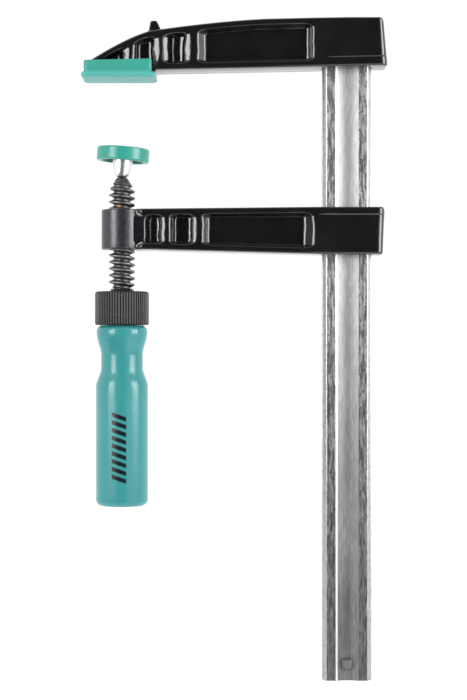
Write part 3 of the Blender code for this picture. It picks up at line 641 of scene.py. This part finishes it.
def casting(name, low, high, top, under, half_depth, pockets, draft, end_round):
    """An I-section arm along X: its back, underside and depth are functions of the place."""
    busy = [(low, low + 5 * MM), (high - SIDE_ROUND - MM, high)]
    for left_side, right_side in pockets:
        busy.append(((left_side[0] - 2) * MM, (left_side[3] + 2) * MM))
        busy.append(((right_side[3] - 2) * MM, (right_side[0] + 2) * MM))
    rim_steps = 16
    rim_reach = RIM_OUTER + RIM_SLOPE + 1.2 * MM
    middle_steps = 8
    corner_steps = 4
    rings = []
    for x in along_x(low, high, busy):
        z_low = under(x) + set_in(high - x, 1.2 * MM)
        z_high = top(x) - set_in(high - x, end_round)
        narrow = set_in(high - x, SIDE_ROUND)
        height = z_high - z_low
        reach = min(rim_reach, 0.46 * height)
        rise = [CAST_ROUND + (reach - CAST_ROUND) * i / rim_steps for i in range(rim_steps + 1)]
        levels = list(rise)
        levels += [reach + (height - 2 * reach) * i / middle_steps for i in range(1, middle_steps)]
        levels += [height - step for step in reversed(rise)]

        def side_point(side, level):
            """The point on one side at a height above the section's foot."""
            spot = Vector((x, side * 0.02, z_low + level))
            wander = 0.5 * MM * noise.noise(spot / (5 * MM))
            wave = 0.07 * MM * noise.noise(spot / (9 * MM))
            depth = half_depth(x, level, height - level) - narrow
            depth -= recess(x + wander, level, height - level, pockets) + abs(wave)
            return (x, side * depth, z_low + level)

        ring = []
        for side, order in ((-1, levels), (1, levels[::-1])):
            full = half_depth(x, 0, height) if side < 0 else half_depth(x, height, 0)
            start = corner(x, side, full - narrow, z_low, z_high, corner_steps, up=side > 0)
            full = half_depth(x, height, 0) if side < 0 else half_depth(x, 0, height)
            end = corner(x, side, full - narrow, z_low, z_high, corner_steps, up=side < 0)
            ring += start + [side_point(side, level) for level in order] + end[::-1]
        rings.append([(px - lean(px, pz, z_low, z_high, high, draft), py, pz) for px, py, pz in ring])
    return loft(name, rings)


def corner(x, side, half, z_low, z_high, steps, up):
    """The rounded edge between a casting's flat back or underside and its side."""
    points = []
    for i in range(steps):
        turn = math.pi / 2 * i / steps
        y = side * (half - CAST_ROUND + CAST_ROUND * math.sin(turn))
        inward = CAST_ROUND * (1 - math.cos(turn))
        points.append((x, y, z_high - inward if up else z_low + inward))
    return points


def lean(x, z, z_low, z_high, end, draft):
    """How far the block's end leans back at a height: towards its top, or below if negative."""
    weight = min(1.0, max(0.0, (x - end + 12 * MM) / (12 * MM)))
    share = min(1.0, max(0.0, (z - z_low) / (z_high - z_low)))
    return weight * (draft * share if draft > 0 else -draft * (1 - share))


def rail_slot(gap, low, high):
    """The cutter for a slot round the rail."""
    half = RAIL_HALF_WIDTH + gap
    face = RAIL_FACE + gap
    edge = face - RAIL_EDGE_FALL
    land = half - RAIL_EDGE_WIDTH
    upper = [(half, edge), (land, face), (-land, face), (-half, edge)]
    section = upper + [(-x, -y) for x, y in upper]
    return loft("slot", [[(RAIL_X + x, y, z) for x, y in section] for z in (low, high)])


def rounded_box_ring(centre, half_x, half_y, radius, z, steps=4):
    """A rectangle with round corners at one height."""
    ring = []
    for quarter, (sx, sy) in enumerate(((1, 1), (-1, 1), (-1, -1), (1, -1))):
        middle = (centre[0] + sx * (half_x - radius), centre[1] + sy * (half_y - radius))
        for x, y in arc(middle, radius, 90 * quarter, 90 * quarter + 90, steps):
            ring.append((x, y, z))
    return ring


def make_fixed_jaw(finish):
    """The fixed jaw, with its lug, the slot for the rail and the pin's hole."""
    shape = (jaw_top, jaw_under, jaw_half_depth, JAW_POCKETS)
    mesh = casting("jaw", JAW_LOW.x, JAW_HIGH.x, *shape, BLOCK_DRAFT, 3 * MM)
    mesh = combined(mesh, lug_mesh(), operation="UNION")
    pin = turned("pin hole", [(3.3 * MM, -PIN_HIGH.y - MM), (3.3 * MM, -PIN_LOW.y + 0.3 * MM)], 48)
    pin.transform(Matrix.Rotation(math.radians(90), 4, "X"))
    pin.transform(Matrix.Translation((RAIL_X, 0, (PIN_LOW.z + PIN_HIGH.z) / 2)))
    mesh = combined(mesh, rail_slot(SLOT_GAP, -0.05, 0.05), facing_out(pin))
    add_piece("fixed_jaw_casting", mesh, finish, "frame", "fixed_jaw")


def lug_mesh():
    """The lug on the fixed jaw's back: steep towards the toe, sloping towards the rail."""
    root = 3 * MM
    rings = []
    for share, left, right, half in (
        (-root, 5.6, 8.0, 6.0),
        (0.0, 4.5, 5.6, 5.0),
        (0.5 * MM, 3.9, 4.5, 4.7),
        (1.2 * MM, 3.5, 3.8, 4.5),
        (5.9 * MM, 2.7, 1.6, 3.7),
        (6.5 * MM, 2.4, 1.3, 3.5),
        (LUG_TOP - LUG_FOOT, 1.8, 0.7, 2.9),
    ):
        middle = LUG_X + (right - left) / 2 * MM
        width = (left + right) / 2 * MM
        rings.append(rounded_box_ring((middle, 0), width, half * MM, 0.8 * MM, LUG_FOOT + share))
    return loft("lug", rings)


def thread_radius(turn, z):
    """The left-hand thread's radius at a turn round the axis and a height."""
    phase = ((z - BALL_Z) / PITCH + turn / math.tau - CREST_PHASE + 0.5) % 1.0
    from_crest = abs(phase - 0.5)
    return ROOT_RADIUS + (CREST_RADIUS - ROOT_RADIUS) * (1 - smooth((from_crest - 0.07) / 0.33))


def make_sliding_arm(finish):
    """The sliding arm: a boss with the screw's thread in it, an I-section and the rail's slot."""
    edge = 0.7 * MM
    profile = arc((BOSS_RADIUS - edge, BOSS_BOTTOM + edge), edge, -90, 0, 4)
    profile += [(BOSS_RADIUS, BOSS_BOTTOM + (BOSS_TOP - BOSS_BOTTOM) * i / 6) for i in range(1, 6)]
    profile += arc((BOSS_RADIUS - edge, BOSS_TOP - edge), edge, 0, 90, 4)
    steps = 120
    inner = [(ROOT_RADIUS, BOSS_TOP + (BOSS_BOTTOM - BOSS_TOP) * i / steps) for i in range(steps + 1)]

    def reach(turn, radius, z):
        """The boss's outside as it is, and its inside widened to the thread and the mouths."""
        if radius > ROOT_RADIUS:
            return radius
        mouth = CREST_RADIUS + 0.8 * MM - min(z - BOSS_BOTTOM, BOSS_TOP - z)
        return max(thread_radius(turn, z) + THREAD_GAP, mouth)

    boss = turned("boss", profile + inner, 96, True, reach)
    shape = (arm_top, arm_under, arm_half_depth, ARM_POCKETS)
    mesh = casting("arm", 8.3 * MM, ARM_HIGH.x, *shape, -MM, 2 * MM)
    mesh = combined(mesh, boss, operation="UNION")
    mesh = combined(mesh, rail_slot(SLOT_GAP, ARM_LOW.z - 0.02, ARM_HIGH.z + 0.02))
    add_piece("sliding_arm_casting", mesh, finish, "arm", "sliding_arm")


# ---- rail, pin and shoe ----

def rail_face(x):
    """Height of the rail's face off its middle plane, from its middle line outwards."""
    x = abs(x)
    if x < GROOVE_HALF_WIDTH:
        return RAIL_FACE - GROOVE_DEPTH * (1 - (x / GROOVE_HALF_WIDTH) ** 2)
    land_end = RAIL_HALF_WIDTH - RAIL_EDGE_WIDTH
    return RAIL_FACE - RAIL_EDGE_FALL * min(1.0, max(0.0, (x - land_end) / RAIL_EDGE_WIDTH))


def make_rail(finish):
    """The drawn bar with its rounded groove, bevelled edges and punched stop."""
    steps = 84
    soft = 0.25 * MM
    upper = []
    for i in range(steps + 1):
        x = RAIL_HALF_WIDTH * (1 - 2 * i / steps)
        inside = max(-RAIL_HALF_WIDTH + soft, min(RAIL_HALF_WIDTH - soft, x))
        y = (rail_face(inside - soft) + 2 * rail_face(x) + rail_face(inside + soft)) / 4
        upper.append((x, y))
    section = upper + [(-x, -y) for x, y in upper]
    rings = []
    chamfer = 0.5 * MM
    for shrink, z in (
        (0.94, RAIL_LOW.z),
        (1.0, RAIL_LOW.z + chamfer),
        (1.0, RAIL_HIGH.z - chamfer),
        (0.96, RAIL_HIGH.z),
    ):
        grow = RAIL_FACE * (1 - shrink)
        rings.append([(RAIL_X + x * (1 - grow / RAIL_HALF_WIDTH), y * shrink, z) for x, y in section])
    mesh = loft("rail", rings)
    middle = RAIL_LOW.z + STOP_HEIGHT_ABOVE_END
    rings = []
    for share, y in ((1.0, -2.0), (1.0, -3.0), (0.92, -4.4), (0.78, -5.3), (0.66, -5.9), (0.5, -6.1)):
        half = STOP_SIZE / 2 * share
        ring = rounded_box_ring((0, 0), half, half, half * 0.4, 0)
        rings.append([(RAIL_X + x, y * MM, middle + z) for x, z, _ in ring])
    mesh = combined(mesh, loft("stop", rings), operation="UNION")
    add_piece("rail_bar", mesh, finish, "frame", "rail", 25)


def make_pin(finish):
    """The pin that holds the fixed jaw, with a chamfered end."""
    radius = (PIN_HIGH.x - PIN_LOW.x) / 2
    back = -PIN_HIGH.y
    front = -PIN_LOW.y
    profile = [(radius * 0.05, back + 0.25 * MM), (radius * 0.3, back), (radius - 0.5 * MM, back)]
    profile += arc((radius - 0.4 * MM, back + 0.4 * MM), 0.4 * MM, -80, 0, 4)
    profile += [(radius, front - 0.4 * MM), (radius - 0.4 * MM, front)]
    mesh = turned("pin", profile, 64)
    mesh.transform(Matrix.Rotation(math.radians(90), 4, "X"))
    mesh.transform(Matrix.Translation((RAIL_X, 0, (PIN_LOW.z + PIN_HIGH.z) / 2)))
    add_piece("jaw_pin", facing_out(mesh), finish, "frame", "fixed_jaw_pin")


def make_shoe(finish):
    """The soft shoe: a sole with cross grooves, and walls round three sides of the toe."""
    wall = 1.9 * MM
    lip = 1.8 * MM
    sole = 2.3 * MM
    wall_low = SHOE_LOW.x + 1.6 * MM
    wall_high = SHOE_HIGH.x - 2.3 * MM
    half_y = SHOE_HIGH.y
    sole_middle = (SHOE_LOW.x + SHOE_HIGH.x) / 2
    sole_half = (SHOE_HIGH.x - SHOE_LOW.x) / 2
    wall_middle = (wall_low + wall_high) / 2
    wall_half = (wall_high - wall_low) / 2
    rings = []
    sole_edge = ((1.7, 0.0), (1.0, 0.12), (0.45, 0.45), (0.12, 0.95), (0.0, 1.5), (0.12, 2.1), (0.6, 2.9))
    for inset, z in sole_edge:
        half_x = sole_half - inset * MM
        width = half_y - inset * MM
        rings.append(rounded_box_ring((sole_middle, 0), half_x, width, 2.6 * MM, z * MM, 6))
    for inset, z in ((0.15, 3.9), (0.0, 4.5), (0.0, 10.3), (0.2, 10.8), (0.55, 11.0)):
        half_x = wall_half - inset * MM
        width = half_y - lip - inset * MM
        rings.append(rounded_box_ring((wall_middle, 0), half_x, width, 2.2 * MM, z * MM, 6))

    def dropped(x, y, z):
        """A point on the wall, lower towards the toe's tip."""
        share = (wall_high - x) / (2 * wall_half)
        return (x, y, z - 0.9 * MM * share * smooth((z - 5 * MM) / (5 * MM)))

    rings[-4:] = [[dropped(*point) for point in ring] for ring in rings[-4:]]
    mesh = loft("shoe", rings)
    inside = half_y - lip - wall
    tip = wall_low + wall
    past_end = 50 * MM
    space = []
    for z in (sole, SHOE_HIGH.z + 5 * MM):
        space.append([(tip, -inside, z), (past_end, -inside, z), (past_end, inside, z), (tip, inside, z)])
    grooves = []
    pitch = 4.0 * MM
    width = 0.35 * MM
    first = SHOE_LOW.x + 3.4 * MM
    for i in range(10):
        x = first + pitch * i
        outline = [(x - width, -MM), (x + width, -MM)]
        outline += [(x + width, 0.02 * MM), (x, 0.18 * MM), (x - width, 0.02 * MM)]
        grooves.append(loft("groove", [[(gx, y, gz) for gx, gz in outline] for y in (-0.03, 0.03)]))
    mesh = combined(mesh, loft("space", space), *grooves)
    add_piece("jaw_shoe", mesh, finish, "frame", "fixed_jaw_shoe")


# ---- screw, collar, handle and pad ----

def make_spindle(finish):
    """The screw: a square tang, a shank, the thread and a tapered tip."""
    foot = SPINDLE_LOW.z
    tang_top = HANDLE_HIGH.z - 1.5 * MM
    heights = [foot, foot + 0.8 * MM, tang_top, tang_top + 1.5 * MM]
    step = 0.2 * MM
    count = round((SPINDLE_HIGH.z - THREAD_BOTTOM) / step)
    heights += [THREAD_BOTTOM + (SPINDLE_HIGH.z - THREAD_BOTTOM) * i / count for i in range(count + 1)]
    shank = ROOT_RADIUS - 0.2 * MM

    def reach(turn, radius, z):
        """The radius of the square tang, the shank or the thread, within the tip's cone."""
        if z <= tang_top:
            square = TANG_HALF / max(abs(math.cos(turn)), abs(math.sin(turn)))
            return square - (0.6 * MM if z <= foot else 0.0)
        if z < THREAD_BOTTOM:
            return shank
        if z > THREAD_TOP:
            return 3.5 * MM + (SPINDLE_HIGH.z - z) * 0.55
        cone = 5.3 * MM + (THREAD_TOP - z) * 0.5
        run_out = shank + (z - THREAD_BOTTOM) * 1.6
        return min(thread_radius(turn, z), cone, run_out)

    mesh = turned("screw", [(1.0, z) for z in heights], 96, False, reach)
    add_piece("screw_spindle", mesh, finish, "screw", "spindle", 50)


def make_ball(finish):
    """The screw's ball end on its neck."""
    neck = 2.4 * MM
    angle = -math.degrees(math.acos(neck / BALL_RADIUS))
    neck_foot = SPINDLE_HIGH.z - BALL_Z
    profile = [(neck + 0.5 * MM, neck_foot + 0.3 * MM), (neck, neck_foot + 0.8 * MM)]
    profile += arc((0, 0), BALL_RADIUS, angle, 88, 24)
    mesh = turned("ball", profile, 48)
    mesh.transform(Matrix.Translation((0, 0, BALL_Z)))
    add_piece("ball_end", mesh, finish, "screw_end", "spindle_ball")


def on_ball(mesh):
    """Places a mesh made round the ball's centre, tilted as the pad stands at rest."""
    mesh.transform(Matrix.Rotation(PAD_TILT, 4, "Y"))
    mesh.transform(Matrix.Translation((0, 0, BALL_Z)))
    return facing_out(mesh)


def make_plate(finish):
    """The plated disc with its tapered socket, crimped round the ball."""
    low = -3.4 * MM
    crimp = ((3.5, -3.4), (4.0, -3.4), (4.45, -3.2), (4.8, -2.7), (4.98, -2.1))
    outside = crimp + ((5.15, -1.0), (5.4, 0.6), (5.75, 3.0), (6.05, 5.6), (6.2, 7.2))
    profile = [(radius * MM, z * MM) for radius, z in outside]
    profile += arc((6.8 * MM, 7.2 * MM), 0.6 * MM, 180, 90, 3)
    edge = 0.5 * MM
    profile += arc((PLATE_RADIUS - edge, PLATE_LOW + edge), edge, -90, 0, 4)
    profile += arc((PLATE_RADIUS - edge, PLATE_TOP - edge), edge, 0, 90, 4)
    profile += [(0.3 * MM, PLATE_TOP), (0.3 * MM, BALL_SPACE)]
    mouth = -math.degrees(math.asin(-low / BALL_SPACE))
    profile += arc((0, 0), BALL_SPACE, 84, mouth, 20)

    def reach(turn, radius, z):
        """The crimp's eight shallow dents."""
        outer = radius > 3.5 * MM and z < 0 and math.hypot(radius, z) > BALL_SPACE + 0.05 * MM
        if not outer:
            return radius
        return radius - 0.16 * MM * smooth(-z / (2 * MM)) * (1 + math.cos(8 * turn)) / 2

    mesh = on_ball(turned("plate", profile, 96, True, reach))
    add_piece("socket_plate", mesh, finish, "swivel_plate", "pressure_plate")


def make_pad(finish):
    """The soft cap over the plate, with a rounded rim and a shallow ring in its face."""
    foot = PAD_TOP - PAD_THICKNESS
    edge = 0.9 * MM
    inside = PLATE_RADIUS + 0.25 * MM
    sunk = PAD_TOP - 0.25 * MM
    profile = [(0.2 * MM, sunk), (9.0 * MM, sunk), (9.6 * MM, PAD_TOP), (12.5 * MM, PAD_TOP)]
    profile += arc((PAD_RADIUS - edge, PAD_TOP - edge), edge, 90, 0, 5)
    profile += [(PAD_RADIUS, PAD_TOP - 0.5 * PAD_THICKNESS)]
    profile += arc((PAD_RADIUS - edge, foot + edge), edge, 0, -90, 5)
    profile += [(inside - 0.9 * MM, foot), (inside - 1.1 * MM, foot + 0.5 * MM)]
    profile += [(inside - 0.7 * MM, PLATE_LOW - 0.7 * MM), (inside, PLATE_LOW - 0.1 * MM)]
    profile += [(inside, PLATE_TOP + 0.25 * MM), (0.2 * MM, PLATE_TOP + 0.25 * MM)]
    mesh = on_ball(turned("pad", profile, 128, True))
    add_piece("pad_cap", mesh, finish, "swivel_pad", "pressure_pad")


def make_collar(finish):
    """The ribbed collar: rounded ribs that fade out at both ends, and a hub under the screw."""
    radius = COLLAR_HIGH.x
    foot = COLLAR_LOW.z
    hub_top = COLLAR_HIGH.z
    top = hub_top - 1.7 * MM
    bore = ROOT_RADIUS + 0.3 * MM
    ribs = 60
    rib_depth = 0.9 * MM
    profile = [(radius - 1.4 * MM, foot)]
    profile += arc((radius - 1.0 * MM, foot + 1.0 * MM), 1.0 * MM, -80, 0, 5)
    profile += [(radius, foot + (top - foot) * share) for share in (0.3, 0.5, 0.7)]
    profile += arc((radius - 1.5 * MM, top - 1.5 * MM), 1.5 * MM, 0, 80, 7)
    profile += [(radius - 2.6 * MM, top), (8.2 * MM, top - 0.15 * MM), (7.4 * MM, top + 0.1 * MM)]
    profile += [(6.7 * MM, hub_top - 0.4 * MM), (6.3 * MM, hub_top), (bore, hub_top), (bore, foot)]

    def reach(turn, here, z):
        """Sinks the grooves between the ribs, less at the collar's rounded ends."""
        if here < radius - 3 * MM:
            return here
        across = abs(math.sin(turn * ribs / 2))
        groove = (1 - across) ** 1.4
        fade = smooth((here - radius + 2.2 * MM) / (1.6 * MM))
        return here - rib_depth * groove * fade

    mesh = turned("collar", profile, ribs * 10, True, reach)
    add_piece("ribbed_collar", mesh, finish, "screw", "knurled_collar", 60)


def make_handle(finish):
    """The handle: a rounded end, a long grip with faint flats, a waist, a bead and the tang's hole."""
    low = HANDLE_LOW.z
    top = HANDLE_HIGH.z
    grip = HANDLE_HIGH.x
    bead = 15.15 * MM
    waist = 12.45 * MM
    end_round = 3.8 * MM
    profile = [(0.2 * MM, low + 0.35 * MM), (5 * MM, low + 0.3 * MM), (7 * MM, low)]
    profile += arc((grip - end_round, low + end_round), end_round, -90, 0, 10)
    grip_z = top - 37 * MM
    profile += [(grip, low + end_round + (grip_z - low - end_round) * i / 12) for i in range(1, 12)]
    for low_size, high_size, low_z, high_z in (
        (grip, waist, grip_z, top - 25 * MM),
        (waist, bead, top - 18 * MM, top - 4.5 * MM),
    ):
        for i in range(15):
            share = i / 14
            size = low_size + (high_size - low_size) * (1 - math.cos(math.pi * share)) / 2
            profile.append((size, low_z + (high_z - low_z) * share))
    profile += arc((bead - 3.2 * MM, top - 3.4 * MM), 3.2 * MM, 8, 66, 6)
    hole = 6.2 * MM
    floor = SPINDLE_LOW.z - 0.4 * MM
    profile += [(13.0 * MM, top), (hole + 0.4 * MM, top), (hole, top - 0.5 * MM)]
    profile += [(hole, floor), (0.2 * MM, floor)]

    def reach(turn, radius, z):
        """Eight faint flats on the grip, which fade out at the waist."""
        if radius < waist - MM:
            return radius
        fade = smooth((grip_z + 4 * MM - z) / (12 * MM)) * smooth((z - low) / (8 * MM))
        return radius - 0.12 * MM * fade * (1 - math.cos(8 * turn)) / 2

    mesh = turned("handle", profile, 128, True, reach)
    add_piece("handle_grip", mesh, finish, "screw", "handle", 50)


# ---- studio ----

def make_floor():
    """A plain pale floor, below the lowest place that the handle reaches."""
    size = 12.0
    mesh = bpy.data.meshes.new("floor")
    z = RAIL_LOW.z - FLOOR_BELOW_RAIL
    corners = [(-size, -size, z), (size, -size, z), (size, size, z), (-size, size, z)]
    mesh.from_pydata(corners, [], [(0, 1, 2, 3)])
    finish = Finish("floor_white", (0.92, 0.92, 0.92), 0.6)
    finish.shader.inputs["Emission Color"].default_value = (1.0, 1.0, 1.0, 1.0)
    finish.shader.inputs["Emission Strength"].default_value = 0.12
    mesh.materials.append(finish.material)
    floor = bpy.data.objects.new("floor", mesh)
    bpy.context.collection.objects.link(floor)


def add_card(name, points):
    """A dark card which the camera doesn't see. It keeps the clamp's flat faces dark."""
    mesh = bpy.data.meshes.new(name)
    mesh.from_pydata(points, [], [(0, 1, 2, 3)])
    mesh.materials.append(Finish(name, (CARD_ALBEDO, CARD_ALBEDO, CARD_ALBEDO), 0.9).material)
    card = bpy.data.objects.new(name, mesh)
    card.visible_camera = False
    bpy.context.collection.objects.link(card)
    return card


def make_cards():
    """One card behind the camera, one above it and one below the clamp, the last two only reflected."""
    middle, back, level = CAMERA_PLACE
    back -= CARD_BEHIND_CAMERA
    low = level - CARD_HALF_HEIGHT
    high = level + CARD_HALF_HEIGHT
    left = middle - CARD_HALF_WIDTH
    right = middle + CARD_HALF_WIDTH
    behind = [(left, back, low), (right, back, low), (right, back, high), (left, back, high)]
    add_card("card_behind", behind)
    top = level + 2.4
    above = [(left, back, high), (right, back, high), (right, back, top), (left, back, top)]
    ground = RAIL_LOW.z
    near = -0.15
    end = THROAT + 8 * MM
    under = [(left, back, ground), (end, back, ground), (end, near, ground), (left, near, ground)]
    for card in (add_card("card_above", above), add_card("card_below", under)):
        card.visible_diffuse = False
        card.visible_shadow = False


def add_softbox(name, azimuth, width):
    """A tall softbox facing the clamp: azimuth 0 is in front, and it grows to the right."""
    turn = math.radians(azimuth)
    aim = Vector((CAMERA_PLACE[0], 0, SOFTBOX_MIDDLE))
    light = bpy.data.lights.new(name, "AREA")
    light.shape = "RECTANGLE"
    light.size = width
    light.size_y = SOFTBOX_HEIGHT
    light.energy = SOFTBOX_RADIANCE * math.pi * width * SOFTBOX_HEIGHT
    lamp = bpy.data.objects.new(name, light)
    lamp.location = aim + SOFTBOX_DISTANCE * Vector((math.sin(turn), -math.cos(turn), 0))
    lamp.rotation_euler = (aim - lamp.location).to_track_quat("-Z", "Y").to_euler()
    lamp.visible_camera = False
    bpy.context.collection.objects.link(lamp)


def make_camera():
    """The camera, level and square on to the clamp."""
    lens = bpy.data.cameras.new("camera")
    lens.lens = 94.3
    lens.sensor_width = 36.0
    camera = bpy.data.objects.new("camera", lens)
    camera.location = CAMERA_PLACE
    camera.rotation_euler = (math.radians(90), 0, 0)
    bpy.context.collection.objects.link(camera)
    bpy.context.scene.camera = camera


def make_light():
    """A white surround and two tall softboxes, in front to the left and right."""
    world = bpy.data.worlds.new("studio")
    world.use_nodes = True
    background = world.node_tree.nodes["Background"]
    background.inputs["Color"].default_value = (1.0, 1.0, 1.0, 1.0)
    background.inputs["Strength"].default_value = 1.02
    bpy.context.scene.world = world
    add_softbox("left_softbox", -47, 0.40)
    add_softbox("right_softbox", 62, 0.56)
    bpy.context.scene.view_settings.view_transform = "Standard"


def build():
    """Makes every piece and the studio."""
    make_camera()
    make_rail(rail_steel())
    make_fixed_jaw(black_paint("black_paint"))
    make_pin(bright_zinc("pin_steel", 0.30, 0.42))
    make_shoe(soft_teal("shoe_plastic", 0.34, 0.48, 4.3 * MM))
    make_sliding_arm(black_paint("arm_paint", boss=True))
    make_spindle(dark_steel("screw_steel", grease=True))
    make_ball(dark_steel("ball_steel"))
    make_plate(bright_zinc("bright_zinc", 0.76, 0.90))
    make_pad(soft_teal("pad_plastic", 0.2, 0.3))
    make_collar(dark_plastic())
    make_handle(handle_teal())
    make_floor()
    make_cards()
    make_light()


build()
